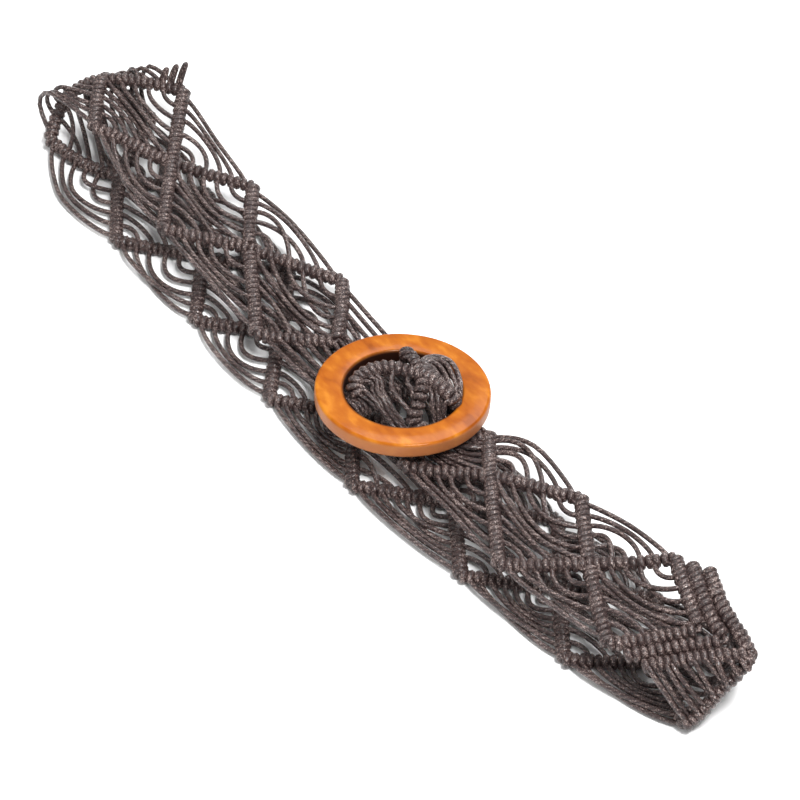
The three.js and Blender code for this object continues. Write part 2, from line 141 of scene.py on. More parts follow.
# %% The band's sections
REACH = 200 * MM          # the sections' x is in these
HALF_WIDTH = 22 * MM      # and their y in these
LIFT = 24 * MM            # and their lift in these. Their skew and bank are in degrees.
REPEAT = 56 * MM          # one repeat of the pattern along the belt
ROW = 5.3 * MM            # thickness of a row of hitches
COLUMNS = ("at", "x", "y", "lift", "skew", "width", "bank", "flare")
SECTIONS = [dict(zip(COLUMNS, row)) for row in (
    (0.0, -0.075, -0.07, 0.33, 0, 1.0, 0, 0.2),
    (0.5, -0.18, -0.08, 0.33, -2, 1.0, 0, 0.2),
    (1.0, -0.299, -0.06, 0.33, -8, 1.03, -4, 0.2),
    (1.5, -0.481, 0.09, 0.38, -6, 1.0, -4, 0.2),
    (2.0, -0.612, 0.08, 0.48, -3, 1.0, -5, 0.2),
    (2.5, -0.75, 0.19, 0.58, -3, 1.0, -5, 0.1),
    (3.0, -0.905, 0.48, 0.7, 1, 0.96, -4, 0),
    (3.5, -1.02, 0.42, 0.74, 14, 0.95, 0, 0.2),
    (3.75, -1.035, 0.26, 0.43, 22, 0.95, 0, 0.5),
    (4.0, -0.98, 0.06, 0.06, 20, 0.95, 0, 0.5),
    (4.25, -0.91, -0.2, 0, 12, 0.97, 0, 0.8),
    (4.5, -0.845, -0.36, 0, 6, 1.0, 0, 1),
    (5.0, -0.697, -0.38, 0, 0, 1.0, 0, 1),
    (6.0, -0.423, -0.45, 0, 0, 1.0, 0, 1),
    (7.0, -0.17, -0.57, 0, 0, 1.0, 0, 1),
    (8.0, 0.098, -0.68, 0, 0, 1.0, 0, 1),
    (9.0, 0.387, -0.51, 0, 0, 1.0, 0, 1),
    (10.0, 0.64, -0.33, 0, -4, 1.0, 0, 1),
    (10.5, 0.755, -0.12, 0, -12, 0.98, 0, 0.5),
    (10.75, 0.805, 0, 0, -18, 0.95, 0, 0),
    (11.0, 0.845, 0.1, 0.05, -24, 0.9, 0, -1),
    (11.25, 0.876, 0.17, 0.46, -28, 0.86, 0, -1),
    (11.5, 0.898, 0.38, 0.9, -24, 0.88, 4, -1),
    (11.8, 0.81, 0.12, 0.93, -20, 0.98, 12, 0),
    (12.3, 0.688, -0.1, 0.79, -18, 1.0, 4, 0.4),
    (12.8, 0.556, -0.16, 0.64, -12, 1.0, 0, 0.5),
    (13.3, 0.436, -0.25, 0.55, -9, 0.98, 0, 0.6),
    (13.8, 0.27, -0.06, 0.44, -5, 0.95, -1, 0.6),
    (14.3, 0.165, -0.2, 0.34, 8, 0.8, -4, 0.6),
    (14.55, 0.14, -0.27, 0.35, 20, 0.56, -2, 0.6),
    (14.8, 0.099, -0.32, 0.5, 32, 0.43, 0, 0.6),
    (15.05, 0.074, -0.31, 0.77, 40, 0.5, 0, 0),
    (15.3, 0.045, -0.27, 0.895, 44, 0.78, 0, 0),
    (15.8, 0.005, 0.07, 0.95, 45, 0.8, 0, 0),
    (16.1, -0.02, 0.26, 0.93, 45, 0.8, 0, 0),
)]


def along_table(at, column):
    """A column's value at any place, on a smooth cubic between the sections."""
    last = len(SECTIONS) - 1
    i = 0
    while i < last - 1 and at > SECTIONS[i + 1]["at"]:
        i += 1

    def slope(k):
        a, b = SECTIONS[max(k - 1, 0)], SECTIONS[min(k + 1, last)]
        return (b[column] - a[column]) / (b["at"] - a["at"])

    a, b = SECTIONS[i], SECTIONS[i + 1]
    span = b["at"] - a["at"]
    t = (at - a["at"]) / span
    return ((2 * t ** 3 - 3 * t ** 2 + 1) * a[column] + (t ** 3 - 2 * t ** 2 + t) * span * slope(i)
            + (3 * t ** 2 - 2 * t ** 3) * b[column] + (t ** 3 - t ** 2) * span * slope(i + 1))


def on_band(at, across, lift=0.0):
    """A point of the band, raised off it by lift metres."""
    skew, bank = (math.radians(along_table(at, c)) for c in ("skew", "bank"))
    out = across * HALF_WIDTH * along_table(at, "width")
    point = SHIFT + Vector((
        along_table(at, "x") * REACH + math.sin(skew) * out,
        along_table(at, "y") * HALF_WIDTH + math.cos(skew) * out,
        max(along_table(at, "lift"), 0) * LIFT + ROW / 2 + math.sin(bank) * out))
    return point + outward(at, across) * lift if lift else point


def outward(at, across):
    """The direction square to the band at a place."""
    small = 0.01
    along = on_band(at + small, across) - on_band(at - small, across)
    over = on_band(at, across + small) - on_band(at, across - small)
    return over.cross(along).normalized()


print("tip of the free end, mm:", [round(v / MM, 1) for v in on_band(15.8, 0)])

# %% [markdown]
# ## Where the cords go
# A macrame net like this has two leader cords that zigzag from edge to edge. Every working
# cord is tied over each leader with a double half hitch, which shows as two wraps. Between
# two rows of hitches the working cords are free, and lie side by side in arcs. So there are
# three kinds of line to draw: leaders, stretches of wraps, and free arcs. There are hundreds
# of them, so rules place them instead of a hand, and a seeded chance makes them uneven.

# %% Runs of the belt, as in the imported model
RUNS = {
    "upper_left_run": (0.44, 3.25), "left_fold": (3.25, 4.25), "lower_run": (4.25, 10.75),
    "right_fold": (10.75, 12.55), "upper_right_run": (12.55, 14.05), "threaded_end": (14.05, 15.84),
}
NECK = 14.8             # where the free end is gathered, in repeats
ARM = math.hypot(REPEAT / 2, HALF_WIDTH)        # a row from a corner at the edge to a crossing
SINE, COSINE = REPEAT / 2 / ARM, HALF_WIDTH / ARM
chance = random.Random(7)
print("runs:", len(RUNS), "row of hitches, mm:", round(ARM / MM, 1))


# %% Leaders: their stops at crossings and corners, as (along, across)
def zigzag(first, edge, end):
    stops, at = [], first
    while at < end - 1e-6:
        stops.append((at, edge))
        at, edge = at + 1, -edge
    return stops


# The triple chevron's last row and the distance between its rows, in repeats
CHEVRON_APEX, CHEVRON_CORNER, CHEVRON_STEP = 11.8, 12.3, 0.15
LAST_CROSSING = 11.5
LEADERS = []
for edge in (1, -1):
    plain = zigzag(1.0, edge, LAST_CROSSING)
    last_corner = (CHEVRON_CORNER - 2 * CHEVRON_STEP, -plain[-1][1])
    LEADERS.append([(0.5, 0), *plain, (LAST_CROSSING, 0), last_corner])
    LEADERS.append([(CHEVRON_APEX - CHEVRON_STEP, 0), (CHEVRON_CORNER - CHEVRON_STEP, edge)])
    LEADERS.append([(CHEVRON_APEX, 0), *zigzag(CHEVRON_CORNER, edge, NECK), (NECK, 0)])
print("leader stretches:", len(LEADERS))


# %% Smooth paths
def between(a, b, t):
    return tuple(u + (v - u) * t for u, v in zip(a, b))


def at_share(path, share):
    place = min(max(share, 0), 1) * (len(path) - 1)
    i = min(int(place), len(path) - 2)
    return between(path[i], path[i + 1], place - i)


def smooth_path(places, steps=6):
    """A cubic through all the places, with a few points from each to the next."""
    ends = [places[0], *places, places[-1]]
    path = [tuple(places[0])]
    for a, b, c, d in zip(ends, ends[1:], ends[2:], ends[3:]):
        for k in range(1, steps + 1):
            t = k / steps
            weights = ((-t + 2 * t ** 2 - t ** 3) / 2, (2 - 5 * t ** 2 + 3 * t ** 3) / 2,
                       (t + 4 * t ** 2 - 3 * t ** 3) / 2, (t ** 3 - t ** 2) / 2)
            path.append(tuple(sum(w * p[i] for w, p in zip(weights, (a, b, c, d))) for i in range(len(a))))
    return path


def smooth_vectors(places):
    return [Vector(p) for p in smooth_path([tuple(p) for p in places])]


# %% Free arcs: one cord turns round a corner or a crossing, square to both rows
ARC_STEPS = 14
LEAST_BULGE = 0.3 * MM
MIDWAY = 0.75       # how far the middle of a cubic goes towards its handles


def arc(at, across, side, shares, depths, lift, least):
    """Leaves one row at the first share of its length and joins the next row at the second.

    The depths are how far the cord reaches from the pivot across the belt."""
    ends = []
    for share, depth, way in zip(shares, depths, (-1, 1)):
        radius = share * ARM
        handle = max(depth - radius * COSINE, LEAST_BULGE, least * share) / (MIDWAY * SINE)
        foot = (way * radius * SINE, radius * COSINE)
        ends.append((foot, (foot[0] - way * handle * COSINE, foot[1] + handle * SINE)))
    (first, lead), (last, trail) = ends
    points = []
    for k in range(ARC_STEPS + 1):
        t = k / ARC_STEPS
        weights = ((1 - t) ** 3, 3 * t * (1 - t) ** 2, 3 * t * t * (1 - t), t ** 3)
        x, y = (sum(w * p[axis] for w, p in zip(weights, (first, lead, trail, last))) for axis in (0, 1))
        points.append((at + x / REPEAT, across + side * y / HALF_WIDTH, lift * math.sin(math.pi * t)))
    return points


# %% A fan of arcs round one pivot
SHARE_JITTER = 0.012    # in row lengths
SWAPS = 0.6             # the share of fans in which two neighbours change places on the way
SWAP_RISE = 0.9         # how far they rise and sink to pass each other, in mm
LIFT_JITTER = 0.5       # the other cords' rise, in mm
SLACK = 1.38            # the furthest that a cord is drawn out, in round turns


def fan(at, across, side, limit, bunch, pull, cords=6, least=0.0, raised=0.0):
    """Cords round one pivot. The outermost is held at the limit, and the rest are pulled to it."""
    shares = [(i + 0.5) / cords + chance.uniform(-SHARE_JITTER, SHARE_JITTER) for i in range(cords)]
    ends = list(range(cords))
    if chance.random() < SWAPS:
        i = chance.randrange(1, cords - 1)
        ends[i], ends[i + 1] = ends[i + 1], ends[i]
    inset = 0
    insets = [0] * cords
    for i in range(cords - 2, -1, -1):
        inset += chance.uniform(*bunch) * MM
        insets[i] = inset
    arcs = []
    for i, end in enumerate(ends):
        depths = []
        for j in (i, end):
            round_turn = shares[j] * ARM
            drawn_out = min(limit - insets[j], SLACK * round_turn)
            depths.append(min(round_turn + max(drawn_out - round_turn, 0) * pull, drawn_out))
        rise = SWAP_RISE * (end - i) if end != i else chance.uniform(-LIFT_JITTER, LIFT_JITTER)
        lift = rise * MM + raised * shares[i]
        arcs.append(arc(at, across, side, (shares[i], shares[end]), depths, lift, least))
    return arcs


# %% Fans round the corners, inside the diamonds
# Kind of fan: how far the outermost cord reaches past the band's middle, the least bulge, and the least
# and most distance between neighbours, all in mm. The far corners' arcs lie over the near corners'.
CORNER_FANS = {
    "round": (3.6, 4.0, (2.9, 3.5)),
    "straight": (-1.05, 1.2, (2.5, 3.2)),
    "underneath": (-1.05, 4.0, (2.5, 3.2)),
}
CORNER_RAISED = 1.1 * MM
UPPER_LEFT_END, UPPER_RIGHT_START = 4, 11      # in repeats
FREE = []
for at in [1.0 + k for k in range(11)] + [12.3, 13.3, 14.3]:
    for side in (1, -1):
        kind = "underneath"
        if at < UPPER_LEFT_END or at > UPPER_RIGHT_START:
            kind = "round" if side > 0 else "straight"
        past, least, bunch = CORNER_FANS[kind]
        FREE += fan(at, side, -side, HALF_WIDTH + past * MM, bunch, 0, 6, least * MM, side * CORNER_RAISED)
print("free arcs in the diamonds:", len(FREE))

# %% Fans round the crossings, which make the belt's scalloped edges
# Stretch: how far the outermost cord swells past the band's edge and the distance between neighbours,
# in mm, then the pull and the number of cords. On the far edge the sections' flare scales the swell.
FAR_FANS = {
    "upper_left": (5, (1.9, 2.6), 0.25, 6), "lower_left": (5, (1.9, 2.6), 0.25, 6),
    "lower_right": (5, (1.9, 2.3), 0.5, 8), "upper_right": (2.2, (1.9, 2.6), 0.25, 6),
}
NEAR_FANS = {
    "upper_left": (1.0, (1.9, 2.6), 0.25, 6), "lower_left": (3.2, (1.9, 3.2), 0.4, 6),
    "lower_right": (1.2, (1.7, 2.3), 0.8, 8), "upper_right": (1.0, (1.9, 2.6), 0.25, 6),
}
LOWER_LEFT_END = 7                      # in repeats
FOLD_CROSSING, FOLD_SWELL = 3.5, -3     # at the left fold's far edge the cords draw in


def stretch_at(at):
    if at < UPPER_LEFT_END:
        return "upper_left"
    if at > UPPER_RIGHT_START:
        return "upper_right"
    return "lower_left" if at < LOWER_LEFT_END else "lower_right"


for at in [1.5 + k for k in range(10)] + [12.8, 13.8]:
    for side, fans in ((1, FAR_FANS), (-1, NEAR_FANS)):
        swell, bunch, pull, cords = fans[stretch_at(at)]
        if side > 0:
            swell = FOLD_SWELL if at == FOLD_CROSSING else swell * along_table(at, "flare")
        FREE += fan(at, 0, side, HALF_WIDTH + swell * MM, bunch, pull, cords)
print("free arcs with the edges:", len(FREE))

# %% Slack loops that lean out over the left fold's far edge
# One loop, as (along, aside, rise), from the foot of one leg to the foot of the other.
LOOP = ((0, -0.4, -0.1), (0, 0, 0.5), (0.15, 0.5, 0.88), (0.5, 0.8, 1.0), (0.85, 0.5, 0.88), (1, 0, 0.5),
        (1, -0.4, -0.2))
LEGS_APART, BOW = 0.034, 0.04                        # in repeats and in half widths
LEAN_ALONG, LEAN_ACROSS, STANDING = 0.006, 0.014, 0.57 * MM     # for each mm of a loop's length
for k, length in enumerate((15, 12, 8.5)):
    at, across = 3.035 + 0.06 * k, 0.95 - 0.09 * k
    FREE.append(smooth_path([
        (at + LEGS_APART * along + LEAN_ALONG * length * rise,
         across + BOW * aside + LEAN_ACROSS * length * rise, STANDING * length * rise)
        for along, aside, rise in LOOP]))
print("free arcs in all:", len(FREE))


# %% Cords that bend sharply over the right fold, from the chevron's last row to the row below
BRIDGES = []
CHEVRON_END = CHEVRON_APEX - 2 * CHEVRON_STEP
FOLD_BEARING = math.radians(-24)
away = Vector((math.cos(FOLD_BEARING), math.sin(FOLD_BEARING), 0))
# Side, number of cords, and how far they bend out, in mm
for side, cords, least, most in ((1, 7, 2.9, 4.4), (-1, 11, 1.6, 5.0)):
    for k in range(cords):
        share = (k + 0.5) / cords + chance.uniform(-0.02, 0.02)
        fall = min(max(share + chance.uniform(-0.06, 0.06), 0.03), 0.97)
        top = on_band(CHEVRON_END + share / 2, side * share)
        foot = on_band(LAST_CROSSING - fall / 2, side * fall, 0.5 * MM)
        over = outward(CHEVRON_END + share / 2, side * share)
        bend = away * chance.uniform(least, most) * MM
        BRIDGES.append(smooth_vectors([
            top, top + bend * 0.8 + over * 0.4 * MM, (top * 2 + foot) / 3 + bend,
            (top + foot * 2) / 3 + bend * 0.9, foot]))
print("cords over the right fold:", len(BRIDGES))

# %% [markdown]
# ## The two ends of the belt
# Both ends meet in the ring. The fixed end's cords pass under it to a bar across the hole.
# The free end comes up through the hole and spreads out as a small tab: two arms of hitches
# that meet at the tip, a short column of hitches between them, and cords that fan out from
# the neck. These lines follow no repeat, so each is drawn through a few places of its own.

# %% The buckle's own frame
RING_OUTER, RING_INNER, RING_THICKNESS, RING_ROUNDING = 32 * MM, 21.3 * MM, 6 * MM, 1.3 * MM
BAR_X, BAR_WIDTH, BAR_THICKNESS = -6 * MM, 6 * MM, 3 * MM
ROLL, LEAN = math.radians(-5), math.radians(-2.5)
ring_low, ring_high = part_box("ring_buckle")
ring_middle = (Vector(ring_low) + Vector(ring_high)) / 2
ring_frame = Matrix.Translation(ring_middle) @ Matrix.Rotation(ROLL, 4, "X") @ Matrix.Rotation(LEAN, 4, "Y")
bar_z = (BAR_THICKNESS - RING_THICKNESS) / 2
print("ring's middle, mm:", [round(v / MM, 2) for v in ring_middle])


# %% The tab: its rows of hitches, as (along, across, lift), each with the girth of its hitches
LEFT_ARM = smooth_path([(15.2, -1.14, -1 * MM), (15.35, -0.97, 0), (15.51, -0.84, 0), (15.65, -0.64, 0),
                        (15.73, -0.36, 0), (15.71, -0.1, 0), (15.66, 0.12, 0), (15.63, 0.3, 0)])
RIGHT_ARM = smooth_path([(15.66, 0.42, 0.3 * MM), (15.5, 0.64, 0.4 * MM), (15.34, 0.88, 0.2 * MM),
                         (15.19, 1.16, -0.5 * MM), (15.1, 1.36, -2.5 * MM)])
COLUMN = smooth_path([(15.42, 0.42, 0.6 * MM), (15.2, 0.38, 1.2 * MM), (15.06, 0.26, 1.2 * MM),
                      (14.91, -0.02, 1 * MM), (14.8, -0.04, 0.4 * MM)])
STEM = smooth_path([(16.02, 0.12, 0.4 * MM), (15.9, 0.18, 0.9 * MM), (15.71, 0.28, 0.9 * MM)])
TAB_ROWS = [(LEFT_ARM, 1.02), (RIGHT_ARM, 1.17), (COLUMN, 1.0), (STEM, 0.92)]
print("rows in the tab:", len(TAB_ROWS))

# %% The tab: cords that fan out from the neck to the arms
# Eight lines, as (along, across). The twelve cords lie on them and between them.
FAN = [
    [(15.17, -1.14), (15.09, -1.2), (15.01, -1.18), (14.9, -1.02)],
    [(15.37, -0.6), (15.15, -0.78), (15.01, -0.98), (14.88, -0.9)],
    [(15.41, -0.42), (15.18, -0.52), (15.01, -0.68), (14.89, -0.56)],
    [(15.42, -0.22), (15.22, -0.22), (15.09, -0.22), (14.95, -0.08)],
    [(15.46, 0.1), (15.34, 0.2), (15.2, 0.2), (15.0, 0.12)],
    [(15.44, 0.5), (15.3, 0.6), (15.09, 0.7), (14.86, 0.72)],
    [(15.3, 0.72), (15.18, 0.82), (15.05, 0.92), (14.85, 0.9)],
    [(15.15, 1.1), (15.05, 1.12), (14.97, 1.12), (14.87, 1.06)],
]
FAN_PLACES = (0, 0.5, 1, 1.5, 2, 3, 4, 5, 5.5, 6, 6.5, 7)
LAST_ON_LEFT, LEFT_SPAN, RIGHT_START, RIGHT_SPAN = 4, 4.6, 4.8, 2.6     # how the lines meet the arms
TAB_CORDS = []
for k, place in enumerate(FAN_PLACES):
    i = min(int(place), len(FAN) - 2)
    across = (k - 5.5) / 6
    layer = (0.5 if k % 2 else -0.7) * MM
    if place <= LAST_ON_LEFT:
        foot = at_share(LEFT_ARM, place / LEFT_SPAN)
    else:
        foot = at_share(RIGHT_ARM, (place - RIGHT_START) / RIGHT_SPAN)
    blend = [between(a, b, place - i) for a, b in zip(FAN[i], FAN[i + 1])]
    TAB_CORDS.append(smooth_path([
        (NECK - abs(across) / 2, across, 0), *((at, c, layer) for at, c in reversed(blend)), foot]))
print("cords in the fan:", len(TAB_CORDS))

# %% The tab: four turns that lie one inside another to the right of the arm, then pass under it
TURNS_OUT = [
    [(16.02, 0.36), (16.12, 0.53), (16.13, 0.73), (16.04, 0.93), (15.84, 1.06), (15.57, 1.16),
     (15.34, 1.2)],
    [(15.98, 0.4), (16.05, 0.6), (15.95, 0.83), (15.71, 0.98), (15.48, 1.09), (15.28, 1.14)],
    [(15.92, 0.42), (15.94, 0.58), (15.8, 0.76), (15.58, 0.9), (15.4, 1.0), (15.24, 1.06)],
    [(15.82, 0.42), (15.81, 0.54), (15.67, 0.68), (15.5, 0.81), (15.33, 0.94), (15.2, 1.0)],
]
for k, turn in enumerate(TURNS_OUT):
    TAB_CORDS.append(smooth_path([
        (15.8, 0.28, -1 * MM), *((at, c, (0.35 * k - 0.7) * MM) for at, c in turn),
        (15.12, 1.34, -4 * MM), (14.95, 1.56 - 0.1 * k, -6 * MM), (14.72, 1.62 - 0.12 * k, -5 * MM),
        (14.5, 1.34 - 0.1 * k, -3 * MM), (14.34, 0.96 - 0.06 * k, 0)]))
print("cords in the tab:", len(TAB_CORDS))

# %% The fixed end: cords from the first rows, under the ring, to the bar
BAR_CORDS = []
CORDS_A_SIDE = 6
UNDER_RING = -RING_THICKNESS / 2 - 1.5 * MM
BAR_EDGE = BAR_X - BAR_WIDTH / 2
SPREAD_AT_RING, SPREAD_AT_BAR = 21 * MM, 19 * MM
for side in (1, -1):
    for k in range(CORDS_A_SIDE):
        share = (k + 0.5) / CORDS_A_SIDE
        local = [(-RING_OUTER, side * SPREAD_AT_RING * share, UNDER_RING - 0.4 * MM),
                 (-RING_INNER * 0.8, side * SPREAD_AT_BAR * share, UNDER_RING),
                 (BAR_EDGE - 3.2 * MM, side * SPREAD_AT_BAR * share, bar_z - 0.6 * MM),
                 (BAR_EDGE - 1.2 * MM, side * SPREAD_AT_BAR * share, bar_z)]
        stops = [on_band(0.5 + share / 2, side * share),
                 on_band(0.42 + share / 2, side * (share - 0.02), chance.uniform(-0.4, 0.6) * MM),
                 *(ring_frame @ Vector(p) for p in local)]
        BAR_CORDS.append(smooth_vectors(stops))
print("cords to the bar:", len(BAR_CORDS))

# %% [markdown]
# ## One node tree draws all the cord
# The lines go in as loose edges, and Geometry Nodes turn them into cord. Leaders and free
# arcs become tubes. A stretch of wraps is resampled at the pitch of the hitches, and a small
# ring of cord is set on each point, squarely over the leader and tilted a little, as a hitch
# is. Doing this in nodes keeps one ring as the pattern for all of them. Two attributes are
# stored on the way: the length along the cord and the direction round it. The material
# needs both to draw the twist of the plies.

# %% A short way to write node trees
def feed(tree, socket, value):
    """Links an output to a socket, or sets the socket's own value."""
    if isinstance(value, bpy.types.NodeSocket):
        tree.links.new(value, socket)
    else:
        socket.default_value = value


def node(tree, kind, properties=None, **inputs):
    made = tree.nodes.new(kind)
    for key, value in (properties or {}).items():
        setattr(made, key, value)
    for key, value in inputs.items():
        socket = next(s for s in made.inputs if s.enabled and s.name.replace(" ", "_").lower() == key)
        feed(tree, socket, value)
    return made


def out(made, name=None):
    return next(s for s in made.outputs if s.enabled and name in (None, s.name))


def math_node(tree, operation, a, b=0.0):
    """For both kinds of tree. Where an operation takes a third value, that is a half."""
    made = tree.nodes.new("ShaderNodeMath")
    made.operation = operation
    for socket, value in zip(made.inputs, (a, b, 0.5)):
        feed(tree, socket, value)
    return made.outputs[0]


def new_tree(name, inputs):
    tree = bpy.data.node_groups.new(name, "GeometryNodeTree")
    tree.interface.new_socket("Geometry", in_out="INPUT", socket_type="NodeSocketGeometry")
    tree.interface.new_socket("Geometry", in_out="OUTPUT", socket_type="NodeSocketGeometry")
    for title, (kind, value) in inputs.items():
        socket = tree.interface.new_socket(title, in_out="INPUT", socket_type=kind)
        if value is not None:
            socket.default_value = value
    return tree, tree.nodes.new("NodeGroupInput"), tree.nodes.new("NodeGroupOutput")


# %% Tubes that know their length and their direction round the cord
def tube_profile(tree, radius, sides):
    circle = node(tree, "GeometryNodeCurvePrimitiveCircle", resolution=sides, radius=radius)
    position = out(tree.nodes.new("GeometryNodeInputPosition"))
    unit = node(tree, "ShaderNodeVectorMath", {"operation": "NORMALIZE"}, vector=position)
    return out(node(tree, "GeometryNodeStoreNamedAttribute",
                    {"data_type": "FLOAT_VECTOR", "domain": "POINT"},
                    geometry=out(circle), name="round_it", value=out(unit)))


def tube(tree, curve, radius, sides):
    length = out(tree.nodes.new("GeometryNodeSplineParameter"), "Length")
    measured = node(tree, "GeometryNodeStoreNamedAttribute", {"data_type": "FLOAT", "domain": "POINT"},
                    geometry=curve, name="along_it", value=length)
    return out(node(tree, "GeometryNodeCurveToMesh", curve=out(measured),
                    profile_curve=tube_profile(tree, radius, sides), fill_caps=True))


# %% The tree: its inputs, and the tubes
FLOAT, INTEGER = "NodeSocketFloat", "NodeSocketInt"
cord_tree, cord_in, cord_out = new_tree("cord_and_hitches", {
    "Cord radius": (FLOAT, 0.96 * MM), "Wrap radius": (FLOAT, 1.55 * MM), "Wrap cord": (FLOAT, 1.46 * MM),
    "Pitch": (FLOAT, 2.5 * MM), "Tilt": (FLOAT, 0.14), "Height": (FLOAT, 0.88), "Seed": (INTEGER, 3),
    "Material": ("NodeSocketMaterial", None)})


def named(tree, name, kind):
    return out(node(tree, "GeometryNodeInputNamedAttribute", {"data_type": kind}, name=name))


is_wraps = named(cord_tree, "is_wraps", "BOOLEAN")
is_tube = out(node(cord_tree, "FunctionNodeBooleanMath", {"operation": "NOT"}, boolean=is_wraps))
lines = cord_in.outputs["Geometry"]
tube_lines = node(cord_tree, "GeometryNodeMeshToCurve", mesh=lines, selection=is_tube)
tubes = tube(cord_tree, out(tube_lines), cord_in.outputs["Cord radius"], 8)
print("inputs of the tree:", [s.name for s in cord_in.outputs if s.name])

# %% The tree: a ring of cord at each hitch, squarely over the leader
TILT_JITTER, THINNEST, FULLEST = 0.13, 0.92, 1.05
wrap_lines = node(cord_tree, "GeometryNodeMeshToCurve", mesh=lines, selection=is_wraps)
wrap_points = node(cord_tree, "GeometryNodeResampleCurve", {"mode": "LENGTH"}, curve=out(wrap_lines),
                   length=cord_in.outputs["Pitch"])
ring_path = node(cord_tree, "GeometryNodeCurvePrimitiveCircle", resolution=14,
                 radius=cord_in.outputs["Wrap radius"])
wrap = tube(cord_tree, out(ring_path), cord_in.outputs["Wrap cord"], 7)
squarely = node(cord_tree, "FunctionNodeAxesToRotation", {"primary_axis": "Z", "secondary_axis": "X"},
                primary_axis=out(cord_tree.nodes.new("GeometryNodeInputTangent")),
                secondary_axis=named(cord_tree, "faces", "FLOAT_VECTOR"))
jitter = node(cord_tree, "FunctionNodeRandomValue", {"data_type": "FLOAT"}, seed=cord_in.outputs["Seed"],
              min=-TILT_JITTER, max=TILT_JITTER)
tilt = math_node(cord_tree, "ADD", out(jitter), cord_in.outputs["Tilt"])
turn = node(cord_tree, "ShaderNodeCombineXYZ", x=tilt, y=0.0, z=0.0)
tilted = node(cord_tree, "FunctionNodeEulerToRotation", euler=out(turn))
turned = node(cord_tree, "FunctionNodeRotateRotation", {"rotation_space": "LOCAL"},
              rotation=out(squarely), rotate_by=out(tilted))
uneven = node(cord_tree, "FunctionNodeRandomValue", {"data_type": "FLOAT"}, seed=11,
              min=THINNEST, max=FULLEST)
size = math_node(cord_tree, "MULTIPLY", out(uneven), named(cord_tree, "girth", "FLOAT"))
flatter = math_node(cord_tree, "MULTIPLY", size, cord_in.outputs["Height"])
stretch = node(cord_tree, "ShaderNodeCombineXYZ", x=flatter, y=size, z=size)
wraps = node(cord_tree, "GeometryNodeInstanceOnPoints", points=out(wrap_points), instance=wrap,
             rotation=out(turned), scale=out(stretch))
both = cord_tree.nodes.new("GeometryNodeJoinGeometry")
for part in (tubes, out(node(cord_tree, "GeometryNodeRealizeInstances", geometry=out(wraps)))):
    cord_tree.links.new(part, both.inputs[0])
smooth = node(cord_tree, "GeometryNodeSetShadeSmooth", geometry=out(both))
dressed = node(cord_tree, "GeometryNodeSetMaterial", geometry=out(smooth),
               material=cord_in.outputs["Material"])
cord_tree.links.new(out(dressed), cord_out.inputs["Geometry"])
print("nodes in the tree:", len(cord_tree.nodes))

# %% [markdown]
# ## Waxed cord
# The cord is cotton, twisted from plies and pulled through wax. Its colour is a dark
# grey-brown with a little purple. Wax fills the grooves unevenly, so the shine breaks up
# into short bright specks; the brightest of them are also painted into the colour as glints,
# with some pale wax among them. The twist is drawn from the two stored attributes: a wave
# that turns with the angle round the cord as it goes along it. Real plies could be modelled,
# but at this size a bump shows as much and costs no faces.

# %% A short way to write material nodes
def ramp(tree, factor, stops):
    made = tree.nodes.new("ShaderNodeValToRGB")
    while len(made.color_ramp.elements) < len(stops):
        made.color_ramp.elements.new(0.5)
    for element, (place, colour) in zip(made.color_ramp.elements, stops):
        element.position, element.color = place, (*colour, 1)
    tree.links.new(factor, made.inputs["Fac"])
    return made.outputs["Color"]


def noise(tree, vector, scale, detail=2.0):
    made = tree.nodes.new("ShaderNodeTexNoise")
    set_inputs(made, {"Scale": scale, "Detail": detail})
    tree.links.new(vector, made.inputs["Vector"])
    return made.outputs["Fac"]


def bump(tree, height, strength, distance, below=None):
    made = tree.nodes.new("ShaderNodeBump")
    set_inputs(made, {"Strength": strength, "Distance": distance})
    tree.links.new(height, made.inputs["Height"])
    if below is not None:
        tree.links.new(below, made.inputs["Normal"])
    return made.outputs["Normal"]


def attribute(tree, name):
    made = tree.nodes.new("ShaderNodeAttribute")
    made.attribute_name = name
    return made


# %% Cord material: the twist of the plies
TWIST, PLIES = 2.7 * MM, 3      # the length of one turn of the twist


def twist_wave(tree):
    """0 in the grooves between the plies and 1 on top of them."""
    parts = tree.nodes.new("ShaderNodeSeparateXYZ")
    tree.links.new(attribute(tree, "round_it").outputs["Vector"], parts.inputs[0])
    angle = math_node(tree, "ARCTAN2", parts.outputs["Y"], parts.outputs["X"])
    travel = math_node(tree, "MULTIPLY", attribute(tree, "along_it").outputs["Fac"], 2 * math.pi / TWIST)
    phase = math_node(tree, "ADD", math_node(tree, "MULTIPLY", angle, PLIES), travel)
    return math_node(tree, "MULTIPLY_ADD", math_node(tree, "SINE", phase), 0.5)


# %% Cord material: colour with painted glints, specks of wax and gloss
WAX_PATCHES, WAX_AND_GLINT_SPECKS = 170, 2100     # noise scales, about 6 mm and half a millimetre


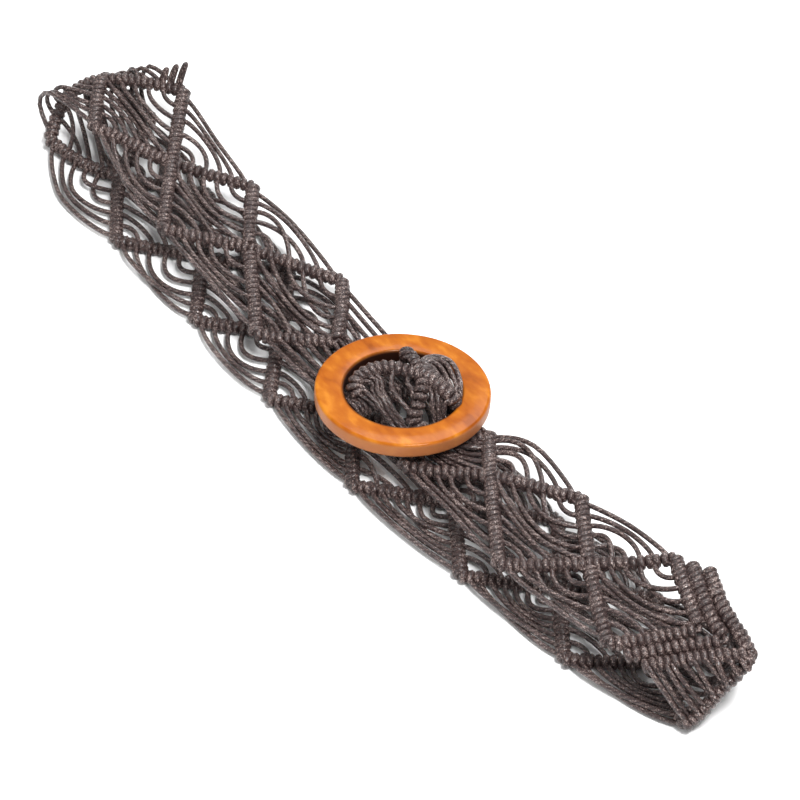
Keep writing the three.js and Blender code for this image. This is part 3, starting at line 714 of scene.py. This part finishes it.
def waxed_cord(name):
    material, tree, shader = material_nodes(name)
    ply = twist_wave(tree)
    place = tree.nodes.new("ShaderNodeTexCoord").outputs["Object"]
    wax = noise(tree, place, WAX_PATCHES, 2)
    wax_specks_and_glints = noise(tree, place, WAX_AND_GLINT_SPECKS, 2)
    mixed = math_node(tree, "ADD", math_node(tree, "MULTIPLY", wax_specks_and_glints, 0.72),
                      math_node(tree, "ADD", math_node(tree, "MULTIPLY", ply, 0.08),
                                math_node(tree, "MULTIPLY", wax, 0.22)))
    # The top of this ramp paints bright glints of the wax's shine into the colour where the speck noise is
    # high, with some pale wax among them; the twist makes the grooves a little darker.
    colour = ramp(tree, mixed, [
        (0.40, (0.013, 0.0068, 0.0066)), (0.50, (0.033, 0.0175, 0.0162)),
        (0.575, (0.064, 0.038, 0.034)), (0.65, (0.28, 0.215, 0.195))])
    tree.links.new(colour, shader.inputs["Base Color"])
    flecks = ramp(tree, wax_specks_and_glints, [(0.50, (0.0,) * 3), (0.60, (1.0,) * 3)])
    rough = ramp(tree, wax_specks_and_glints, [(0.46, (0.6,) * 3), (0.58, (0.25,) * 3)])
    tree.links.new(rough, shader.inputs["Roughness"])
    set_inputs(shader, {"Specular IOR Level": 0.22, "Coat Weight": 0.55, "Coat Roughness": 0.16})
    fine = bump(tree, flecks, 0.8, 0.10 * MM)
    twisted = bump(tree, ply, 0.5, 0.12 * MM, fine)
    tree.links.new(twisted, shader.inputs["Normal"])
    tree.links.new(twisted, shader.inputs["Coat Normal"])
    return material


net_cord = waxed_cord("waxed_cord")
print("material:", net_cord.name, "nodes:", len(net_cord.node_tree.nodes))

# %% [markdown]
# ## The net, run by run
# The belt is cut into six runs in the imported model, and each run gets its own piece, so a
# line is cut where its run ends. The tubes meet end to end there, and the join doesn't
# show.

# %% Cut a line where its run ends
def clip(path, low, high):
    """The parts of a path of (at, across, lift) that lie between two places along the belt."""
    inside, parts = [], []
    for a, b in zip(path, path[1:]):
        stops = [0, 1]
        if (a[0] - low) * (b[0] - low) < 0 or (a[0] - high) * (b[0] - high) < 0:
            cuts = [(limit - a[0]) / (b[0] - a[0]) for limit in (low, high)]
            stops = [0, *sorted(t for t in cuts if 0 < t < 1), 1]
        for s, e in zip(stops, stops[1:]):
            mid = a[0] + (b[0] - a[0]) * (s + e) / 2
            ends = [between(a, b, t) for t in (s, e)]
            if low <= mid <= high:
                inside = inside + [ends[1]] if inside else ends
            elif inside:
                parts.append(inside)
                inside = []
    return parts + ([inside] if inside else [])


# %% Points along a leader, and the stretches of it that carry hitches
CORNER_INSET, CROSSING_INSET = 1.2 * MM, 3.2 * MM   # how far hitches stay from a turn and from a crossing


def refine(stops, step):
    """Points about a step apart, as (along, across, lift)."""
    path = [(*stops[0], 0.0)]
    for start, end in zip(stops, stops[1:]):
        pieces = max(1, round(abs(end[0] - start[0]) / step))
        path += [(*between(start, end, k / pieces), 0.0) for k in range(1, pieces + 1)]
    return path


def wrap_spans(stops):
    """Stretches of hitches. One leader of each pair stops short of the crossings, under the other."""
    on_top = stops[1][1] > 0
    spans = []
    for (a0, c0), (a1, c1) in zip(stops, stops[1:]):
        cuts = [(a0, c0)]
        if abs(c0) == abs(c1) == 1 and not on_top:
            cuts.append(((a0 + a1) / 2, 0))
        cuts.append((a1, c1))
        for start, end in zip(cuts, cuts[1:]):
            inset = [CORNER_INSET if abs(stop[1]) == 1 else CROSSING_INSET for stop in (start, end)]
            span = abs(end[0] - start[0]) * 2 * ARM
            shares = (inset[0] / span, 1 - inset[1] / span)
            spans.append([between(start, end, t) for t in shares])
    return spans


# %% Draw one run
class Lines:
    """Loose edges with the attributes that the node tree reads."""

    def __init__(self):
        self.points, self.edges, self.wraps, self.faces, self.girths = [], [], [], [], []

    def add_free(self, points, faces, is_wraps=False, girth=1.0):
        """Points in space, each with the direction that it faces."""
        first = len(self.points)
        self.points += points
        self.faces += faces
        self.wraps += [is_wraps] * len(points)
        self.girths += [girth] * len(points)
        self.edges += [(k, k + 1) for k in range(first, len(self.points) - 1)]

    def add(self, path, is_wraps=False, girth=1.0):
        """A path on the band, as (along, across, lift)."""
        faces = [outward(at, across) for at, across, lift in path]
        self.add_free([on_band(*stop) for stop in path], faces, is_wraps, girth)

    def piece(self, name):
        made = new_object(name, self.points, [], self.edges)
        wraps = made.data.attributes.new("is_wraps", "BOOLEAN", "POINT")
        wraps.data.foreach_set("value", self.wraps)
        girths = made.data.attributes.new("girth", "FLOAT", "POINT")
        girths.data.foreach_set("value", self.girths)
        faces = made.data.attributes.new("faces", "FLOAT_VECTOR", "POINT")
        faces.data.foreach_set("vector", [v for face in self.faces for v in face])
        return made


def socket_id(tree, title):
    return next(s.identifier for s in tree.interface.items_tree if s.name == title and s.in_out == "INPUT")


def grow(piece, tree, **values):
    """Runs a node tree on a piece and keeps the result as a plain mesh."""
    modifier = piece.modifiers.new(tree.name, "NODES")
    modifier.node_group = tree
    for title, value in values.items():
        modifier[socket_id(tree, title.replace("_", " ").capitalize())] = value
    made = bpy.data.meshes.new_from_object(piece.evaluated_get(bpy.context.evaluated_depsgraph_get()))
    piece.modifiers.remove(modifier)
    made.name = piece.name
    piece.data = made
    return piece


def dress(piece, *nodes, slot="waxed_cord"):
    """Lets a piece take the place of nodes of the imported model."""
    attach(piece, "root")
    if nodes:
        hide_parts(*nodes)
    count = sum(len(p.vertices) - 2 for p in piece.data.polygons)
    print(f"{piece.name}: {count} triangles")


# %% All six runs
LEADER_STEP, WRAP_STEP = 0.1, 0.05      # in repeats
OFF_THE_BAND = {"upper_left_run": BAR_CORDS, "right_fold": BRIDGES}
for run, (low, high) in RUNS.items():
    drawn = Lines()
    for stops in LEADERS:
        for part in clip(refine(stops, LEADER_STEP), low, high):
            drawn.add(part)
        for span in wrap_spans(stops):
            for part in clip(refine(span, WRAP_STEP), low, high):
                drawn.add(part, True)
    for path in FREE:
        for part in clip(path, low, high):
            drawn.add(part)
    for path in OFF_THE_BAND.get(run, []):
        drawn.add_free(path, [UP] * len(path))
    if run == "threaded_end":
        for path in TAB_CORDS:
            drawn.add(path)
        for path, girth in TAB_ROWS:
            drawn.add(path)
            drawn.add(path, True, girth)
    net = grow(drawn.piece(run + "_cords"), cord_tree, material=net_cord)
    dress(net, run)

# %% [markdown]
# ## The ring
# The buckle is a turned wooden ring with rounded edges, stained amber and varnished. A bar
# crosses it under the free end. Its section is a rounded oblong, so a few lines of mesh code
# turn that round the axis. The bar is a plain rounded stick in the same mesh. Both could be
# modelled from a torus and a cube, but a section gives the flat faces and the edge at once.

# %% Ring profile
SECTION_STEPS, AROUND, BAR_SIDES = 6, 120, 16


def ring_section(steps):
    """A rounded oblong, as (distance from the axis, height)."""
    half, r = RING_THICKNESS / 2, RING_ROUNDING
    section = []
    for x, z, start in ((RING_INNER + r, r - half, 180), (RING_OUTER - r, r - half, 270),
                        (RING_OUTER - r, half - r, 0), (RING_INNER + r, half - r, 90)):
        for k in range(steps + 1):
            angle = math.radians(start + 90 * k / steps)
            section.append((x + r * math.cos(angle), z + r * math.sin(angle)))
    return section


def squared(value, power):
    """A sine or cosine made fuller, which turns a circle into a rounded oblong."""
    return math.copysign(abs(value) ** power, value)


section = ring_section(SECTION_STEPS)
m = len(section)
print("points of the ring's section:", m)

# %% Ring and bar
vertices = [ring_frame @ Vector((x * math.cos(t), x * math.sin(t), z))
            for t in (2 * math.pi * k / AROUND for k in range(AROUND)) for x, z in section]
faces = []
for i in range(AROUND):
    here, ahead = i * m, (i + 1) % AROUND * m
    for j in range(m):
        beside = (j + 1) % m
        faces.append((here + j, ahead + j, ahead + beside, here + beside))
near, far = len(vertices), len(vertices) + BAR_SIDES
for end in (-1, 1):
    for j in range(BAR_SIDES):
        t = 2 * math.pi * j / BAR_SIDES
        vertices.append(ring_frame @ Vector((
            BAR_X + BAR_WIDTH / 2 * squared(math.cos(t), 0.5), end * (RING_INNER + RING_OUTER) / 2,
            bar_z + BAR_THICKNESS / 2 * squared(math.sin(t), 0.5))))
for j in range(BAR_SIDES):
    beside = (j + 1) % BAR_SIDES
    faces.append((near + j, near + beside, far + beside, far + j))
faces.append(tuple(reversed(range(near, near + BAR_SIDES))))
faces.append(tuple(range(far, far + BAR_SIDES)))
ring = new_object("wooden_ring", vertices, faces)
for polygon in ring.data.polygons:
    polygon.use_smooth = True
print("ring and bar:", len(faces), "faces")

# %% [markdown]
# ## Amber wood under varnish
# The stain gives an even orange with soft darker clouds and a faint figure, so one broad and
# one fine noise share a colour ramp. The outer wall gets a paler, duller colour than the top, a
# painted sheen for the soft reflection on it, and the wall of the hole gets near-black painted
# shade. Both come from the shape: the sheen from the way that the surface faces, and the shade
# from the distance to the axis.

# %% Helpers for the wood
def vector_math(tree, operation, first, second=None):
    made = tree.nodes.new("ShaderNodeVectorMath")
    made.operation = operation
    tree.links.new(first, made.inputs[0])
    if second is not None:
        made.inputs[1].default_value = second
    return made.outputs["Value" if operation == "LENGTH" else "Vector"]


def map_range(tree, value, start, end, top=1.0):
    made = tree.nodes.new("ShaderNodeMapRange")
    tree.links.new(value, made.inputs["Value"])
    set_inputs(made, {"From Min": start, "From Max": end, "To Max": top})
    return made.outputs["Result"]


def mix_colours(tree, factor, first, second):
    made = tree.nodes.new("ShaderNodeMix")
    made.data_type = "RGBA"
    tree.links.new(factor, made.inputs["Factor"])
    for title, value in (("A", first), ("B", second)):
        feed(tree, next(s for s in made.inputs if s.name == title and s.type == "RGBA"), value)
    return next(s for s in made.outputs if s.type == "RGBA")


# %% Wood material
# The first colour is near-black painted shade for the wall of the hole, and the second a paler painted
# sheen for the outer wall.
PAINTED_HOLE_SHADE, PAINTED_WALL_SHEEN = (0.018, 0.006, 0.004, 1), (0.33, 0.13, 0.055, 1)
FIGURE, CLOUDS = 420, 130       # noise scales, about 2 mm and 8 mm


def polished_wood(name):
    material, tree, shader = material_nodes(name)
    place = tree.nodes.new("ShaderNodeTexCoord")
    stretched = tree.nodes.new("ShaderNodeMapping")
    set_inputs(stretched, {"Rotation": (0.1, 0.2, math.radians(35)), "Scale": (0.5, 1.0, 1.0)})
    tree.links.new(place.outputs["Object"], stretched.inputs["Vector"])
    figure = noise(tree, stretched.outputs["Vector"], FIGURE, 6)
    clouds = noise(tree, stretched.outputs["Vector"], CLOUDS, 2)
    mixed = math_node(tree, "ADD", math_node(tree, "MULTIPLY", figure, 0.30),
                      math_node(tree, "MULTIPLY", clouds, 0.70))
    colour = ramp(tree, mixed, [
        (0.36, (0.21, 0.045, 0.003)), (0.46, (0.29, 0.07, 0.004)), (0.55, (0.34, 0.093, 0.006)),
        (0.66, (0.45, 0.155, 0.014))])
    facing = tree.nodes.new("ShaderNodeSeparateXYZ")
    tree.links.new(place.outputs["Normal"], facing.inputs[0])
    # Where the surface faces sideways, the colour turns to the painted sheen.
    painted_sheen_mask = map_range(tree, facing.outputs["Z"], 0.75, 0.25, 0.7)
    from_axis = vector_math(tree, "SUBTRACT", place.outputs["Object"], ring_middle)
    radius = vector_math(tree, "LENGTH", vector_math(tree, "MULTIPLY", from_axis, (1, 1, 0)))
    # Close to the hole, the colour fades into near-black painted shade on its wall.
    past_hole_shade = map_range(tree, radius, RING_INNER + 0.1 * MM, RING_INNER + 1.3 * MM)
    outside = mix_colours(tree, painted_sheen_mask, colour, PAINTED_WALL_SHEEN)
    tree.links.new(mix_colours(tree, past_hole_shade, PAINTED_HOLE_SHADE, outside), shader.inputs["Base Color"])
    set_inputs(shader, {
        "Roughness": 0.45, "Specular IOR Level": 0.12, "Specular Tint": (1, 0.55, 0.15, 1),
        "Coat Weight": 0.14, "Coat Roughness": 0.12})
    tree.links.new(bump(tree, figure, 0.12, 0.1 * MM), shader.inputs["Normal"])
    return material


ring.data.materials.append(polished_wood("polished_wood"))
dress(ring, "ring_buckle", slot="polished_wood")

# %% [markdown]
# ## What holds the ends
# The fixed end's cords are looped round the bar, and the free end's tip carries a small
# knot. Both are made of the same cord. The tab hides most of the loops, so plain turns side
# by side are enough. Only the outside of the knot shows, so it is a spiral wound on a ball
# and not a knot that could be untied.

# %% Loops on the bar
LOOP_COUNT, LOOP_PITCH, LOOP_STEPS, LOOP_GAP = 21, 1.93 * MM, 24, 1.3 * MM
loops = Lines()
for k in range(LOOP_COUNT):
    y = (k - (LOOP_COUNT - 1) / 2) * LOOP_PITCH
    path = []
    for j in range(LOOP_STEPS + 1):
        t = 2 * math.pi * j / LOOP_STEPS
        path.append(ring_frame @ Vector((
            BAR_X + (BAR_WIDTH / 2 + LOOP_GAP) * squared(math.cos(t), 0.6), y,
            bar_z + (BAR_THICKNESS / 2 + LOOP_GAP) * squared(math.sin(t), 0.6))))
    loops.add_free(path, [UP] * len(path))
dress(grow(loops.piece("bar_cords"), cord_tree, material=net_cord), "bar_loops")

# %% Tip knot: a cord wound up a ball, from near one pole to near the other
TURNS, BALL, KNOT_STEPS, LOWEST, HIGHEST = 3.4, 2.2 * MM, 60, -75, 80
knot_low, knot_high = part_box("tip_knot")
knot_middle = (Vector(knot_low) + Vector(knot_high)) / 2
upright = (knot_middle - on_band(15.7, 0)).to_track_quat("Z", "Y")
path = []
for k in range(KNOT_STEPS + 1):
    height = math.radians(LOWEST + (HIGHEST - LOWEST) * k / KNOT_STEPS)
    t = 2 * math.pi * TURNS * k / KNOT_STEPS
    path.append(knot_middle + upright @ Vector((
        math.cos(height) * math.cos(t), math.cos(height) * math.sin(t), math.sin(height))) * BALL)
knot = Lines()
knot.add_free(path, [UP] * len(path))
dress(grow(knot.piece("tip_knot_cords"), cord_tree, material=net_cord), "tip_knot")
